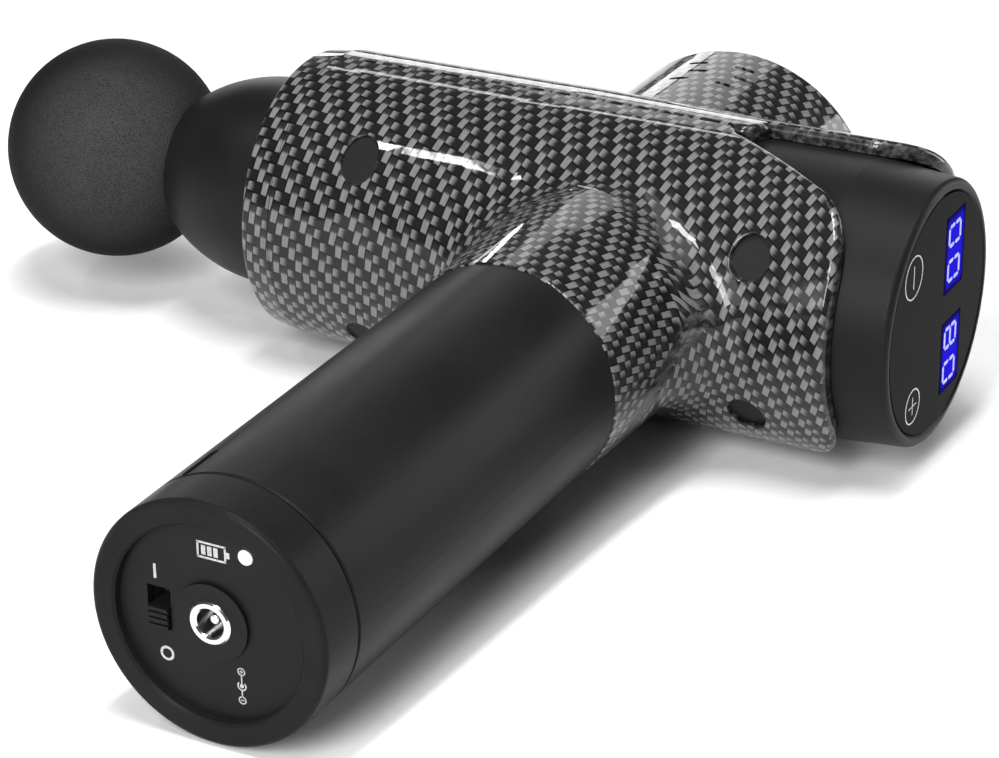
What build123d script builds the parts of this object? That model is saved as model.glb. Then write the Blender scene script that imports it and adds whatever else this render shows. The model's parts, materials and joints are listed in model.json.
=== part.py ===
"""Percussion massage gun, lying on its right side.

Frame, in millimetres: the origin is the centre of the handle's base rim. The handle runs
along +Y, the barrel lies across it along X with the massage head towards -X and the
display towards +X, and +Z is the gun's left side, which faces up.
"""
import os
from math import cos, hypot, radians, sin, sqrt

from build123d import *

os.makedirs("parts", exist_ok=True)

# Driving dimensions
BARREL_Y = 184.0  # height of the barrel's axis above the handle's base
HANDLE_R = 25.0
BARREL_R = 34.5
SHELL_WALL = 2.6
FRONT_X = -87.7  # front edge of the barrel
FRONT_R = 32.4
FRONT_EDGE = 1.6
BAND_SEAM_X = -79.6  # where the front band ends and the handle's shell starts
BAND_SEAM_R = 33.6
TAPER_END_X = -20.0
MOUTH_R = 24.8  # opening in the front wall, for the nose cone
HANDLE_SHELL_REAR_X = 56.0
MOTOR_SHELL_REAR_X = 60.5
SHELL_EDGE = 1.8  # rounding of the shells' rear and notch edges
WELL_EDGE = 0.4
NOTCH_TIP_X = 19.8  # where the parting line runs into the notch between the shells
NOTCH_UPPER = (24.8, BARREL_Y + 6.9)
NOTCH_LOWER = (22.8, BARREL_Y - 2.6)
UPPER_CORNER = (46.0, BARREL_Y + 9.2)
LOWER_CORNER = (45.2, BARREL_Y - 13.4)
NECK_END_Y = 115.0
NECK_R = 25.3
NECK_ROOT_R = 26.0
NECK_ROOT_Y = 136.0
NECK_BORE_R = 23.0
NECK_FILLET = 13.4
NECK_EDGE = 0.4
MOTOR_X = 0.6  # motor and hump axis, parallel to the handle
HUMP_R = 33.0
HUMP_TOP = 46.2  # above the barrel's axis
CAP_END_Y = 11.6
GRIP_START_Y = 12.0
PANEL_Y = 2.2
RIM_INNER_R = 20.0
HOUSING_R = 30.8  # rear housing
HOUSING_END_X = 67.8
GLASS_R = 26.8
STROKE = 12.0
CRANK_R = STROKE / 2
PIN_X = MOTOR_X + CRANK_R
PLUNGER_R = 10.0
BALL_X = -142.5
BALL_R = 26.1
COLLAR_R = 12.6
STEM_R = 6.95
RUNNING_GAP = 0.05
CELL_R = 9.2
CELL_LENGTH = 65.0
CELL_RING_R = 10.68
CELL_STARTS = (18.0, 85.2)
SCREW_SPOTS = ((-59.5, 21.2), (-59.5, -21.2), (36.5, 18.0), (36.5, -18.0))
PLUG_R = 4.3
SEAT_RISE = -13.5  # where the shell screws' heads sit, from the barrel's axis
BOSS_R = 5.5
POST_R = 4.5
SCREW_CORE_R = 1.25
SCREW_SHANK_HOLE_R = 1.7
SEAM_GAP = 0.15
SEAM_DEPTH = 1.7
VENT_SLOT = (4.8, 1.4)
VENT_COLUMNS = (-5.7, 5.7)
VENT_ROWS = ((25.7, -1.1), (31.0, 1.1), (36.3, -1.1))  # rise above the barrel's axis, shift along X

NOSE_R = 24.4
NOSE_BEND_X = -95.0
NOSE_ARC_R = 39.0
NOSE_SWEEP = 36.9
NOSE_WALL = 2.2

HOUSING_START_X = 18.0
HOUSING_INNER_R = 27.8
GLASS_SEAT_X = 65.9
GLASS_THICKNESS = 1.7
BOARD_X = 60.4  # display board
BOARD_THICKNESS = 1.6
MAIN_BOARD_X = 46.0
DISPLAY_SCREW_R = 25.4
DISPLAY_SIZE = (17.0, 9.6)  # across Z, along Y
DISPLAY_WINDOWS = ((9.4, 11.6), (9.4, -12.0))  # rise above the barrel's axis, Z
TOUCH_SPOTS = ((-14.8, 14.3), (-12.4, -16.7))

GRIP_INNER_R = 22.4
PANEL_R = 20.9
PANEL_THICKNESS = 2.2
BASE_BOARD_Y = 12.5
LATCH_TURN = radians(27.5)
LATCH_OUT = 24.2
JACK_R = 4.4
JACK_BOSS_R = 7.8
JACK_BORE_R = 2.85
JACK_PIN_R = 1.0
JACK_PIN_START = 2.6
LED_SPOT = (7.6, 14.9)
LED_R = 1.6
SWITCH_X = -11.4
SWITCH_SLOT = (5.0, 8.6)
SWITCH_KNOB = 4.2
SWITCH_TRAVEL = 3.8
SWITCH_TOP_Y = 1.3
STRAP = 0.2
LEAD_R = 1.1
LEAD_SPOTS = ((19.0, 1.5), (19.0, -1.5))

FRAME_R = 29.8
FRAME_BOTTOM = 13.5  # above the barrel's axis, as are the other heights in the motor
FRAME_TOP = 16.5
FRAME_SCREW_SPOTS = tuple(
    (MOTOR_X + 27.8 * cos(radians(turn)), 27.8 * sin(radians(turn))) for turn in (30, 150, 210, 330)
)
TUBE_TOP = 36.0
BEARING_TUBE_R = 8.5
BEARING_R = 6.5
BEARING_WIDTH = 4.0
SHAFT_R = 2.5
STATOR_START = 20.0
STATOR_HEIGHT = 13.0
STATOR_R = 20.2
TEETH = 12
TOOTH_CENTRE_R = 15.5
TOOTH = (8.0, 3.2)
MAGNETS = 14
CAN_R = 23.9
CAN_INNER_R = 22.5
CAN_TOP = 38.6
PHASE_X = 18.6
PHASE_SPREAD = (-4.0, 0.0, 4.0)
PHASE_R = 0.8
GUIDE_R = 15.5
GUIDE_FRONT_X = -92.0
BUSH_R = 13.0
WHEEL_R = 16.0
WHEEL_BOTTOM = 5.2
WHEEL_TOP = 9.2
WEIGHT_TOP = 12.8
PIN_R = 2.0
CRANK_BEARING_R = 6.5
BEARING_HALF_WIDTH = 2.5  # of the crank's bearing
YOKE_HALF_X = 12.4
YOKE_HALF_THICKNESS = 3.5
YOKE_PLAY = 1.45  # each side of the bearing
PLUNGER_FRONT_X = -105.7
COLLAR_END_X = -107.0
STEM_END_X = -80.0
CORE_R = 14.0
WAIST_R = 8.0
O_RING_SPOTS = (-99.0, -88.0)

BARREL_AXIS = Axis((0, BARREL_Y, 0), (1, 0, 0))
MOTOR_AXIS = Axis((MOTOR_X, 0, 0), (0, 1, 0))


def level(rise):
    """Plane across the handle's axis, `rise` above the barrel's axis. Its local Y is -Z."""
    return Plane(origin=(0, BARREL_Y + rise, 0), x_dir=(1, 0, 0), z_dir=(0, 1, 0))


def height(y):
    """The same plane, `y` above the handle's base."""
    return level(y - BARREL_Y)


def station(x):
    """Plane across the barrel at x, centred on its axis. Its local X is Y and its local Y is Z."""
    return Plane(origin=(x, BARREL_Y, 0), x_dir=(0, 1, 0), z_dir=(1, 0, 0))


def write(piece, label):
    piece.part.label = label
    export_step(piece.part, f"parts/{label}.step")


def turned(points, axis):
    """Solid of revolution from an outline of straight sides in the XY plane."""
    with BuildPart() as body:
        with BuildSketch(Plane.XY):
            with BuildLine():
                Polyline(*points, close=True)
            make_face()
        revolve(axis=axis)
    return body.part


def barrel_ring(inner, outer, start, end):
    """Outline of a ring about the barrel's axis, from start to end along X."""
    low, high = BARREL_Y + inner, BARREL_Y + outer
    return [(start, low), (end, low), (end, high), (start, high)]


def handle_ring(inner, outer, start, end):
    """Outline of a ring about the handle's axis, from start to end along Y."""
    return [(inner, start), (outer, start), (outer, end), (inner, end)]


def motor_ring(inner, outer, start, end):
    """Outline of a ring about the motor's axis, from start to end above the barrel's axis."""
    left, right = MOTOR_X + inner, MOTOR_X + outer
    low, high = BARREL_Y + start, BARREL_Y + end
    return [(left, low), (right, low), (right, high), (left, high)]


# Casing: the shells' common outer form and cavity


def barrel_skin(start_x, rear_x):
    """The barrel's full outer form, slightly tapered to the front, with a rounded front edge."""
    with BuildPart() as skin:
        add(
            turned(
                [
                    (start_x, BARREL_Y),
                    (start_x, BARREL_Y + FRONT_R),
                    (BAND_SEAM_X, BARREL_Y + BAND_SEAM_R),
                    (TAPER_END_X, BARREL_Y + BARREL_R),
                    (rear_x, BARREL_Y + BARREL_R),
                    (rear_x, BARREL_Y),
                ],
                BARREL_AXIS,
            )
        )
        fillet(skin.faces().sort_by(Axis.X)[0].edges(), FRONT_EDGE)
    return skin.part


def barrel_cavity():
    """The barrel's inside: wide round the mechanism, a little tighter on the rear housing."""
    front_x = FRONT_X + SHELL_WALL
    wide_r = BARREL_R - SHELL_WALL
    housing_r = HOUSING_R + 0.2
    return turned(
        [
            (front_x, BARREL_Y),
            (front_x, BARREL_Y + FRONT_R - SHELL_WALL),
            (TAPER_END_X, BARREL_Y + wide_r),
            (HOUSING_START_X - 4, BARREL_Y + wide_r),
            (HOUSING_START_X - 1, BARREL_Y + housing_r),
            (HOUSING_END_X, BARREL_Y + housing_r),
            (HOUSING_END_X, BARREL_Y),
        ],
        BARREL_AXIS,
    )


def nose_mouth():
    """The round opening in the front wall that the nose cone comes through."""
    return turned(barrel_ring(0, MOUTH_R, FRONT_X - 1, BAND_SEAM_X), BARREL_AXIS)


def handle_side_region():
    """Side view of what belongs to the handle's shell, below the parting line and notch."""
    tip = (NOTCH_TIP_X, BARREL_Y)
    rear_x = HANDLE_SHELL_REAR_X
    with BuildSketch(Plane.XY) as region:
        with BuildLine():
            Polyline(
                tip,
                (BAND_SEAM_X, BARREL_Y),
                (BAND_SEAM_X, NECK_END_Y),
                (rear_x + 1, NECK_END_Y),
                (rear_x + 1, BARREL_Y - 30),
                (rear_x, BARREL_Y - 28.5),
            )
            RadiusArc((rear_x, BARREL_Y - 28.5), LOWER_CORNER, -16.5)
            Line(LOWER_CORNER, NOTCH_LOWER)
            RadiusArc(NOTCH_LOWER, tip, 5.0)
        make_face()
    return region.sketch


def motor_side_region():
    """Side view of what belongs to the motor's shell, above the parting line and notch."""
    tip = (NOTCH_TIP_X, BARREL_Y)
    rear_x = MOTOR_SHELL_REAR_X
    top = BARREL_Y + HUMP_TOP + 2
    with BuildSketch(Plane.XY) as region:
        with BuildLine():
            Line(NOTCH_UPPER, UPPER_CORNER)
            RadiusArc(UPPER_CORNER, (rear_x, BARREL_Y + 24), -15.5)
            Polyline(
                (rear_x, BARREL_Y + 24),
                (rear_x + 1, BARREL_Y + 25),
                (rear_x + 1, top),
                (FRONT_X - 1, top),
                (FRONT_X - 1, BARREL_Y),
                tip,
            )
            RadiusArc(tip, NOTCH_UPPER, -5.4)
        make_face()
    return region.sketch


def posts(radius, start, end):
    """Round posts at the four screw spots, cut off at the barrel's outer form."""
    with BuildPart() as group:
        with BuildSketch(level(start)):
            with Locations(*SCREW_SPOTS):
                Circle(radius)
        extrude(amount=end - start)
        add(barrel_skin(FRONT_X, MOTOR_SHELL_REAR_X), mode=Mode.INTERSECT)
    return group.part


def on_skin(edge, least_radius=BARREL_R - 0.1):
    """Whether the edge lies on the barrel's outer surface, least_radius or more from its axis."""
    points = [edge.position_at(share) for share in (0.05, 0.5, 0.95)]
    radii = [hypot(point.Y - BARREL_Y, point.Z) for point in points]
    return least_radius < min(radii) and max(radii) < BARREL_R + 0.1


def in_well(edge):
    """Whether the edge belongs to one of the screw wells."""
    centre = edge.center()
    return any(hypot(centre.X - x, centre.Z - z) < PLUG_R + 1 for x, z in SCREW_SPOTS)


def rear_edges(piece):
    """The shell's outer edges round the notch and along its rear."""
    return [
        edge
        for edge in piece.edges()
        if on_skin(edge)
        and not in_well(edge)
        and edge.center().X > NOTCH_TIP_X - 2
        and abs(edge.center().Y - BARREL_Y) > 0.01
    ]


def well_edges(piece):
    """The mouths of the screw wells."""
    return [edge for edge in piece.edges() if on_skin(edge, BAND_SEAM_R) and in_well(edge)]


def neck_edges(piece):
    """The curved edges where the round neck runs into the barrel."""
    return [
        edge
        for edge in piece.edges()
        if edge.geom_type not in (GeomType.CIRCLE, GeomType.LINE)
        and BARREL_Y - 45 < edge.center().Y < BARREL_Y - 5
    ]


def neck_end_edges(piece):
    """The outer edge of the neck's open end."""
    return [
        edge
        for edge in piece.edges().filter_by(GeomType.CIRCLE)
        if abs(edge.center().Y - NECK_END_Y) < 0.01 and edge.radius > NECK_BORE_R + 1
    ]


with BuildPart() as handle_side_shell:
    add(barrel_skin(FRONT_X, HANDLE_SHELL_REAR_X))
    add(
        turned(
            [
                (0, NECK_END_Y),
                (NECK_R, NECK_END_Y),
                (NECK_ROOT_R, NECK_ROOT_Y),
                (NECK_ROOT_R, BARREL_Y),
                (0, BARREL_Y),
            ],
            Axis.Y,
        )
    )
    fillet(neck_edges(handle_side_shell.part), NECK_FILLET)
    add(barrel_cavity(), mode=Mode.SUBTRACT)
    add(turned(handle_ring(0, NECK_BORE_R, NECK_END_Y - 1, BARREL_Y), Axis.Y), mode=Mode.SUBTRACT)
    # Screw wells: a boss inside each, open to the outside for its screw and plug
    add(posts(BOSS_R, -34, -1))
    extrude(handle_side_region(), amount=BARREL_R + 1, both=True, mode=Mode.INTERSECT)
    with BuildSketch(level(SEAT_RISE)):
        with Locations(*SCREW_SPOTS):
            Circle(PLUG_R)
    extrude(amount=-30, mode=Mode.SUBTRACT)
    with BuildSketch(level(0)):
        with Locations(*SCREW_SPOTS):
            Circle(SCREW_SHANK_HOLE_R)
    extrude(amount=SEAT_RISE, mode=Mode.SUBTRACT)
    fillet(rear_edges(handle_side_shell.part), SHELL_EDGE)
    fillet(well_edges(handle_side_shell.part), WELL_EDGE)
    fillet(neck_end_edges(handle_side_shell.part), NECK_EDGE)
    # Shallow groove along the parting line
    groove_centre_x = (BAND_SEAM_X + NOTCH_TIP_X) / 2
    with Locations((groove_centre_x, BARREL_Y, BARREL_R), (groove_centre_x, BARREL_Y, -BARREL_R)):
        Box(NOTCH_TIP_X - BAND_SEAM_X, 2 * SEAM_GAP, 2 * SEAM_DEPTH, mode=Mode.SUBTRACT)
write(handle_side_shell, "handle_side_shell")

with BuildPart() as motor_side_shell:
    add(barrel_skin(FRONT_X, MOTOR_SHELL_REAR_X))
    add(turned(motor_ring(0, HUMP_R, 0, HUMP_TOP), MOTOR_AXIS))
    fillet(motor_side_shell.faces().sort_by(Axis.Y)[-1].edges(), 1.6)
    add(barrel_cavity(), mode=Mode.SUBTRACT)
    add(nose_mouth(), mode=Mode.SUBTRACT)
    # Bosses that the shell screws bite into
    add(posts(POST_R, 0, 34))
    add(
        turned(motor_ring(0, HUMP_R - SHELL_WALL, 6, HUMP_TOP - SHELL_WALL), MOTOR_AXIS),
        mode=Mode.SUBTRACT,
    )
    extrude(motor_side_region(), amount=BARREL_R + 1, both=True, mode=Mode.INTERSECT)
    # Bosses on the hump's wall for the screws that hold the motor frame
    with BuildSketch(level(FRAME_TOP)):
        with Locations(*FRAME_SCREW_SPOTS):
            Circle(2.8)
    extrude(amount=14.5)
    with BuildSketch(level(FRAME_TOP)):
        with Locations(*FRAME_SCREW_SPOTS):
            Circle(SCREW_CORE_R)
    extrude(amount=6, mode=Mode.SUBTRACT)
    with BuildSketch(level(0)):
        with Locations(*SCREW_SPOTS):
            Circle(SCREW_CORE_R)
    extrude(amount=12, mode=Mode.SUBTRACT)
    # Cooling slots in the hump, in staggered rows on both sides
    with BuildSketch(Plane.XY):
        for rise, shift in VENT_ROWS:
            for column in VENT_COLUMNS:
                with Locations((MOTOR_X + column + shift, BARREL_Y + rise)):
                    SlotOverall(*VENT_SLOT)
    extrude(amount=HUMP_R + 2, both=True, mode=Mode.SUBTRACT)
    fillet(rear_edges(motor_side_shell.part), SHELL_EDGE)
write(motor_side_shell, "motor_side_shell")

with BuildPart() as front_band:
    add(barrel_skin(FRONT_X, HOUSING_START_X))
    add(barrel_cavity(), mode=Mode.SUBTRACT)
    add(nose_mouth(), mode=Mode.SUBTRACT)
    with BuildSketch(Plane.XY):
        with Locations((BAND_SEAM_X - SEAM_GAP, BARREL_Y - SEAM_GAP)):
            Rectangle(20, 40, align=(Align.MAX, Align.MAX))
    extrude(amount=BARREL_R, both=True, mode=Mode.INTERSECT)
write(front_band, "front_band")

with BuildPart() as screw_plugs:
    add(posts(PLUG_R, -34, SEAT_RISE - 2.6))
    sunk = turned(barrel_ring(0, BARREL_R - 1.3, FRONT_X, HANDLE_SHELL_REAR_X), BARREL_AXIS)
    add(sunk, mode=Mode.INTERSECT)
write(screw_plugs, "screw_plugs")

with BuildPart() as shell_screws:
    with BuildSketch(level(SEAT_RISE)):
        with Locations(*SCREW_SPOTS):
            Circle(2.8)
    extrude(amount=-2.2)
    with BuildSketch(level(SEAT_RISE)):
        with Locations(*SCREW_SPOTS):
            Circle(SCREW_CORE_R)
    extrude(amount=10 - SEAT_RISE)
    with BuildSketch(level(SEAT_RISE - 2.2)):
        with Locations(*SCREW_SPOTS):
            RegularPolygon(1.3, 6)
    extrude(amount=1.4, mode=Mode.SUBTRACT)
write(shell_screws, "shell_screws")


# Nose cone, over the plunger


def on_nose_arc(radius, angle):
    """Point on the nose's rounded profile, or on its inside at a smaller radius."""
    x = NOSE_BEND_X - radius * sin(radians(angle))
    y = BARREL_Y + NOSE_R - NOSE_ARC_R + radius * cos(radians(angle))
    return (x, y)


with BuildPart() as nose_cone:
    inside = NOSE_ARC_R - NOSE_WALL
    lip = on_nose_arc(NOSE_ARC_R - NOSE_WALL / 2, NOSE_SWEEP + 1.7)
    with BuildSketch(Plane.XY):
        with BuildLine():
            Polyline(
                on_nose_arc(inside, 0),
                (-82.6, BARREL_Y + NOSE_R - NOSE_WALL),
                (-82.6, BARREL_Y + 28),
                (-84.9, BARREL_Y + 28),
                (-84.9, BARREL_Y + NOSE_R),
                on_nose_arc(NOSE_ARC_R, 0),
            )
            ThreePointArc(
                on_nose_arc(NOSE_ARC_R, 0),
                on_nose_arc(NOSE_ARC_R, NOSE_SWEEP / 2),
                on_nose_arc(NOSE_ARC_R, NOSE_SWEEP),
            )
            ThreePointArc(
                on_nose_arc(NOSE_ARC_R, NOSE_SWEEP),
                lip,
                on_nose_arc(inside, NOSE_SWEEP),
            )
            ThreePointArc(
                on_nose_arc(inside, NOSE_SWEEP),
                on_nose_arc(inside, NOSE_SWEEP / 2),
                on_nose_arc(inside, 0),
            )
        make_face()
    revolve(axis=BARREL_AXIS)
write(nose_cone, "nose_cone")


# Rear housing and display

with BuildPart() as rear_housing:
    with BuildSketch(Plane.XY):
        with BuildLine():
            Polyline(
                (GLASS_SEAT_X, BARREL_Y + 25),
                (GLASS_SEAT_X, BARREL_Y + GLASS_R + 0.1),
                (HOUSING_END_X - 0.5, BARREL_Y + GLASS_R + 0.1),
                (HOUSING_END_X, BARREL_Y + GLASS_R + 0.6),
                (HOUSING_END_X, BARREL_Y + 27.9),
            )
            RadiusArc(
                (HOUSING_END_X, BARREL_Y + 27.9), (HOUSING_END_X - 1.5, BARREL_Y + 29.45), -1.6
            )
            Polyline(
                (HOUSING_END_X - 1.5, BARREL_Y + 29.45),
                (50, BARREL_Y + HOUSING_R),
                (HOUSING_START_X, BARREL_Y + HOUSING_R),
                (HOUSING_START_X, BARREL_Y + HOUSING_INNER_R),
                (GLASS_SEAT_X - 1.8, BARREL_Y + HOUSING_INNER_R),
                (GLASS_SEAT_X - 1.8, BARREL_Y + 25),
                (GLASS_SEAT_X, BARREL_Y + 25),
            )
        make_face()
    revolve(axis=BARREL_AXIS)
    # Three posts for the display board, on the inner wall
    with BuildSketch(station(BOARD_X)):
        with PolarLocations(DISPLAY_SCREW_R, 3, start_angle=30):
            Circle(2.6)
    extrude(amount=-8.4)
    with BuildSketch(station(BOARD_X)):
        with PolarLocations(DISPLAY_SCREW_R, 3, start_angle=30):
            Circle(1.0)
    extrude(amount=-6, mode=Mode.SUBTRACT)
    # Room for the motor, the shell's bosses and the battery leads
    add(turned(motor_ring(0, HUMP_R - 1.6, 9, 40), MOTOR_AXIS), mode=Mode.SUBTRACT)
    add(posts(BOSS_R + 0.3, -34, 0), mode=Mode.SUBTRACT)
    add(posts(POST_R + 0.3, 0, 34), mode=Mode.SUBTRACT)
    with Locations((HOUSING_START_X + 4, BARREL_Y - 28, 0)):
        Box(12, 10, 8, mode=Mode.SUBTRACT)
write(rear_housing, "rear_housing")

with BuildPart() as display_glass:
    with BuildSketch(station(GLASS_SEAT_X)):
        Circle(GLASS_R)
    extrude(amount=GLASS_THICKNESS)
    chamfer(display_glass.faces().sort_by(Axis.X)[-1].edges(), 0.3)
write(display_glass, "display_glass")

with BuildPart() as display_board:
    with BuildSketch(station(BOARD_X)):
        Circle(HOUSING_INNER_R - 0.4)
        with PolarLocations(DISPLAY_SCREW_R, 3, start_angle=30):
            Circle(1.25, mode=Mode.SUBTRACT)
    extrude(amount=BOARD_THICKNESS)
write(display_board, "display_board")

with BuildPart() as display_modules:
    with BuildSketch(station(BOARD_X + BOARD_THICKNESS)):
        with Locations(*DISPLAY_WINDOWS):
            Rectangle(DISPLAY_SIZE[1], DISPLAY_SIZE[0])
    extrude(amount=GLASS_SEAT_X - BOARD_X - BOARD_THICKNESS)
write(display_modules, "display_modules")

with BuildPart() as touch_pads:
    with BuildSketch(station(BOARD_X + BOARD_THICKNESS)):
        with Locations(*TOUCH_SPOTS):
            Circle(3.5)
    extrude(amount=GLASS_SEAT_X - BOARD_X - BOARD_THICKNESS)
write(touch_pads, "touch_pads")

with BuildPart() as display_screws:
    with BuildSketch(station(BOARD_X + BOARD_THICKNESS)):
        with PolarLocations(DISPLAY_SCREW_R, 3, start_angle=30):
            Circle(1.9)
    extrude(amount=1.3)
    with BuildSketch(station(BOARD_X + BOARD_THICKNESS)):
        with PolarLocations(DISPLAY_SCREW_R, 3, start_angle=30):
            Circle(1.0)
    extrude(amount=-6)
write(display_screws, "display_screws")

with BuildPart() as main_board:
    with BuildSketch(station(MAIN_BOARD_X)):
        Circle(HOUSING_INNER_R - 0.1)
    extrude(amount=BOARD_THICKNESS)
write(main_board, "main_board")

with BuildPart() as driver_components:
    rear_face = MAIN_BOARD_X + BOARD_THICKNESS
    with BuildSketch(station(rear_face)):
        with GridLocations(9, 8, 2, 3):
            Rectangle(6.5, 5)
    extrude(amount=1.8)
    with BuildSketch(station(rear_face)):
        with Locations((16, 6), (16, -6)):
            Circle(4)
    extrude(amount=8)
    with BuildSketch(station(rear_face)):
        with Locations((-15, 0)):
            Rectangle(4, 12)
    extrude(amount=4.5)
write(driver_components, "driver_components")

with BuildPart() as display_ribbon:
    with BuildSketch(station(MAIN_BOARD_X + BOARD_THICKNESS)):
        with Locations((-19, 0)):
            Rectangle(0.5, 10)
    extrude(amount=BOARD_X - MAIN_BOARD_X - BOARD_THICKNESS)
write(display_ribbon, "display_ribbon")


# Handle, battery and base

with BuildPart() as grip_tube:
    with BuildSketch(Plane.XY):
        with BuildLine():
            Polyline(
                (GRIP_INNER_R, GRIP_START_Y),
                (HANDLE_R - 0.4, GRIP_START_Y),
                (HANDLE_R, GRIP_START_Y + 0.4),
                (HANDLE_R, NECK_END_Y),
                (NECK_BORE_R, NECK_END_Y),
                (NECK_BORE_R, NECK_END_Y + 9),
                (GRIP_INNER_R, NECK_END_Y + 9),
                close=True,
            )
        make_face()
    revolve(axis=Axis.Y)
    # Shallow latch slot at the lower end
    with BuildSketch(
        Plane(
            origin=(-LATCH_OUT * sin(LATCH_TURN), 18, LATCH_OUT * cos(LATCH_TURN)),
            x_dir=(0, 1, 0),
            z_dir=(-sin(LATCH_TURN), 0, cos(LATCH_TURN)),
        )
    ):
        SlotOverall(11, 2.2)
    extrude(amount=3, mode=Mode.SUBTRACT)
write(grip_tube, "grip_tube")

with BuildPart() as end_cap:
    with BuildSketch(Plane.XY):
        with BuildLine():
            Polyline(
                (RIM_INNER_R, PANEL_Y),
                (RIM_INNER_R, 0.5),
                (RIM_INNER_R + 0.5, 0),
                (HANDLE_R - 1.3, 0),
            )
            RadiusArc((HANDLE_R - 1.3, 0), (HANDLE_R, 1.3), -1.3)
            Polyline(
                (HANDLE_R, 1.3),
                (HANDLE_R, CAP_END_Y - 0.3),
                (HANDLE_R - 0.3, CAP_END_Y),
                (GRIP_INNER_R - 0.05, CAP_END_Y),
                (GRIP_INNER_R - 0.05, 17),
                (PANEL_R, 17),
                (PANEL_R, PANEL_Y),
                (RIM_INNER_R, PANEL_Y),
            )
        make_face()
    revolve(axis=Axis.Y)
write(end_cap, "end_cap")

with BuildPart() as base_panel:
    with BuildSketch(height(PANEL_Y)):
        Circle(PANEL_R)
    extrude(amount=PANEL_THICKNESS)
    with BuildSketch(height(PANEL_Y)):
        Circle(JACK_BOSS_R)
    extrude(amount=-0.8)
    with BuildSketch(height(0)):
        Circle(JACK_R)
        with Locations((LED_SPOT[0], -LED_SPOT[1])):
            Circle(LED_R)
        with Locations((SWITCH_X, 0)):
            Rectangle(SWITCH_SLOT[0], SWITCH_SLOT[1])
    extrude(amount=10, mode=Mode.SUBTRACT)
write(base_panel, "base_panel")

with BuildPart() as charge_jack:
    add(turned(handle_ring(0, JACK_R, 0.9, BASE_BOARD_Y), Axis.Y))
    add(turned(handle_ring(0, JACK_R + 1.2, PANEL_Y + PANEL_THICKNESS, BASE_BOARD_Y), Axis.Y))
    add(turned(handle_ring(0, JACK_BORE_R, 0, 11), Axis.Y), mode=Mode.SUBTRACT)
    add(turned(handle_ring(0, JACK_PIN_R, 10, 13), Axis.Y), mode=Mode.SUBTRACT)
    chamfer(charge_jack.faces().sort_by(Axis.Y)[0].edges(), 0.35)
write(charge_jack, "charge_jack")

with BuildPart() as charge_pin:
    with BuildSketch(height(JACK_PIN_START)):
        Circle(JACK_PIN_R)
    extrude(amount=BASE_BOARD_Y - JACK_PIN_START)
    fillet(charge_pin.faces().sort_by(Axis.Y)[0].edges(), 0.4)
write(charge_pin, "charge_pin")

with BuildPart() as charge_led:
    with BuildSketch(height(PANEL_Y - 0.3)):
        with Locations((LED_SPOT[0], -LED_SPOT[1])):
            Circle(LED_R)
    extrude(amount=5)
    fillet(charge_led.faces().sort_by(Axis.Y)[0].edges(), 0.6)
write(charge_led, "charge_led")

with BuildPart() as switch_body:
    with BuildSketch(height(PANEL_Y + PANEL_THICKNESS)):
        with Locations((SWITCH_X, 0)):
            Rectangle(8.4, 13)
    extrude(amount=6)
    with BuildSketch(height(PANEL_Y + PANEL_THICKNESS)):
        with Locations((SWITCH_X, 0)):
            Rectangle(SWITCH_SLOT[0], SWITCH_SLOT[1])
    extrude(amount=3.4, mode=Mode.SUBTRACT)
write(switch_body, "switch_body")

with BuildPart() as switch_knob:
    with BuildSketch(height(SWITCH_TOP_Y)):
        with Locations((SWITCH_X, SWITCH_TRAVEL / 2)):
            Rectangle(SWITCH_KNOB, SWITCH_KNOB)
    extrude(amount=PANEL_Y + PANEL_THICKNESS + 3 - SWITCH_TOP_Y)
    with BuildSketch(height(SWITCH_TOP_Y)):
        with Locations((SWITCH_X, SWITCH_TRAVEL / 2)):
            with GridLocations(0, 1.2, 1, 3):
                Rectangle(SWITCH_KNOB, 0.5)
    extrude(amount=0.4, mode=Mode.SUBTRACT)
write(switch_knob, "switch_knob")

with BuildPart() as base_board:
    with BuildSketch(height(BASE_BOARD_Y)):
        Circle(PANEL_R - 0.3)
    extrude(amount=BOARD_THICKNESS)
write(base_board, "base_board")

with BuildPart() as base_components:
    with BuildSketch(height(BASE_BOARD_Y + BOARD_THICKNESS)):
        with GridLocations(10, 9, 2, 3):
            Rectangle(6, 5)
    extrude(amount=1.6)
write(base_components, "base_components")

with BuildPart() as battery_cells:
    for start in CELL_STARTS:
        with BuildSketch(height(start)):
            with PolarLocations(CELL_RING_R, 3, start_angle=60):
                Circle(CELL_R)
        extrude(amount=CELL_LENGTH)
write(battery_cells, "battery_cells")

with BuildPart() as cell_holders:
    for start in CELL_STARTS:
        for rise in (3.0, CELL_LENGTH - 9):
            with BuildSketch(height(start + rise)):
                Circle(GRIP_INNER_R - 0.1)
                with PolarLocations(CELL_RING_R, 3, start_angle=60):
                    Circle(CELL_R, mode=Mode.SUBTRACT)
                with Locations(*LEAD_SPOTS):
                    Circle(LEAD_R + 0.2, mode=Mode.SUBTRACT)
            extrude(amount=6)
write(cell_holders, "cell_holders")

with BuildPart() as nickel_straps:
    for start in CELL_STARTS:
        for end in (start - STRAP, start + CELL_LENGTH):
            with BuildSketch(height(end)):
                with PolarLocations(CELL_RING_R, 3, start_angle=60):
                    Circle(4)
                RegularPolygon(CELL_RING_R, 3, rotation=60)
            extrude(amount=STRAP)
write(nickel_straps, "nickel_straps")


def wire(points, radius, bend):
    """Round wire along straight runs joined by arcs."""
    with BuildPart() as lead:
        with BuildLine() as route:
            FilletPolyline(*points, radius=bend)
        with BuildSketch(Plane(origin=points[0], z_dir=Vector(*points[1]) - Vector(*points[0]))):
            Circle(radius)
        sweep(path=route.line)
    return lead.part


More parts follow.
